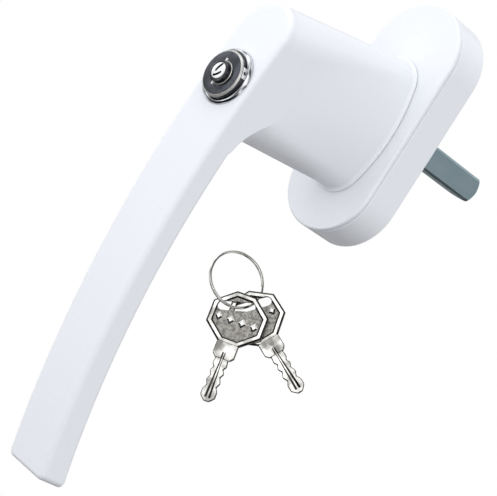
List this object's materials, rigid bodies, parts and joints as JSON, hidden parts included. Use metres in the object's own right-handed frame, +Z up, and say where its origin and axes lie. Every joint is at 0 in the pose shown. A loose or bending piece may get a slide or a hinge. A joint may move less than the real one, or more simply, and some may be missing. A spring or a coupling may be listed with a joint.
{
  "type": "keyed window lock",
  "caption": "Lockable window handle: oval rosette, curved white lever, push cylinder in its neck, square spindle, and its keys on a ring.",
  "frame": {"origin": "on the spindle's axis, in the plane where the rosette meets the sash, midway between the two screw holes", "axes": "+Z up, +Y into the window along the spindle, -Y towards the room; the lever hangs down along -Z, closed"},
  "size_m": [0.0402, 0.0998, 0.152],
  "materials": {
    "white_paint": "smooth white powder coat, satin",
    "zinc_plate": "zinc plated, satin",
    "spring_steel": "plain spring steel",
    "acetal": "natural acetal",
    "chrome_trim": "polished chrome",
    "dark_chrome": "dark polished face with a bright bevel",
    "black_barrel": "black, semi-gloss",
    "plug_nickel": "nickel plated, lightly brushed",
    "brass_parts": "plain brass",
    "key_nickel": "nickel plated brass, tumbled",
    "ring_nickel": "nickel plated wire"
  },
  "bodies": {
    "base": {"base_plate": "white_paint", "guide_bush": "acetal", "lock_plate": "zinc_plate", "detent_spring_left": "spring_steel", "detent_spring_right": "spring_steel"},
    "cover": {"rosette_cover": "white_paint"},
    "handle": {"lever_casting": "white_paint", "spindle": "zinc_plate", "spindle_pin": "spring_steel", "index_ring": "zinc_plate", "thrust_washer": "acetal", "circlip": "spring_steel", "lock_escutcheon": "chrome_trim", "return_spring": "spring_steel"},
    "lock": {"lock_barrel": "black_barrel", "barrel_cap": "dark_chrome", "locking_bolt": "zinc_plate", "latch_spring": "spring_steel"},
    "plug": {"lock_plug": "plug_nickel", "wafers": "brass_parts", "plug_clip": "spring_steel"},
    "latch": {"latch": "brass_parts"},
    "key_ring": {"key_ring": "ring_nickel"},
    "key_1": {"key_1": "key_nickel"},
    "key_2": {"key_2": "key_nickel"}
  },
  "joints": [
    {"name": "cover_turn", "type": "hinge", "parent": "base", "child": "cover", "pos_m": [0, 0, 0], "axis": [0, 1, 0], "range_deg": [-90, 90]},
    {"name": "handle_turn", "type": "hinge", "parent": "base", "child": "handle", "pos_m": [0, 0, 0], "axis": [0, 1, 0], "range_deg": [0, 180], "deforming": ["detent_spring_left", "detent_spring_right"]},
    {"name": "lock_push", "type": "slide", "parent": "handle", "child": "lock", "axis": [0, 1, 0], "range_m": [0, 0.0026], "stiffness_N_per_m": 400, "springref_m": -0.005, "deforming": ["return_spring"]},
    {"name": "plug_turn", "type": "hinge", "parent": "lock", "child": "plug", "pos_m": [0, 0, -0.0135], "axis": [0, 1, 0], "range_deg": [0, 90], "stiffness_Nm_per_rad": 0.005},
    {"name": "latch_slide", "type": "slide", "parent": "lock", "child": "latch", "axis": [0, 0, 1], "range_m": [0, 0.00126], "deforming": ["latch_spring"]},
    {"name": "keys_aside", "type": "slide", "parent": "base", "child": "key_ring", "axis": [1, 0, 0], "range_m": [0, 0.08]},
    {"name": "key_1_swing", "type": "hinge", "parent": "key_ring", "child": "key_1", "pos_m": [0.00485, -0.02089, -0.05956], "axis": [0.5522, -0.8166, 0.1678], "range_deg": [-25, 25]},
    {"name": "key_2_swing", "type": "hinge", "parent": "key_ring", "child": "key_2", "pos_m": [0.00535, -0.01814, -0.05796], "axis": [0.5522, -0.8166, 0.1678], "range_deg": [-25, 25]}
  ],
  "couplings": [
    {"joint": "plug_turn", "follows": "latch_slide", "rad_per_m": 1250}
  ]
}
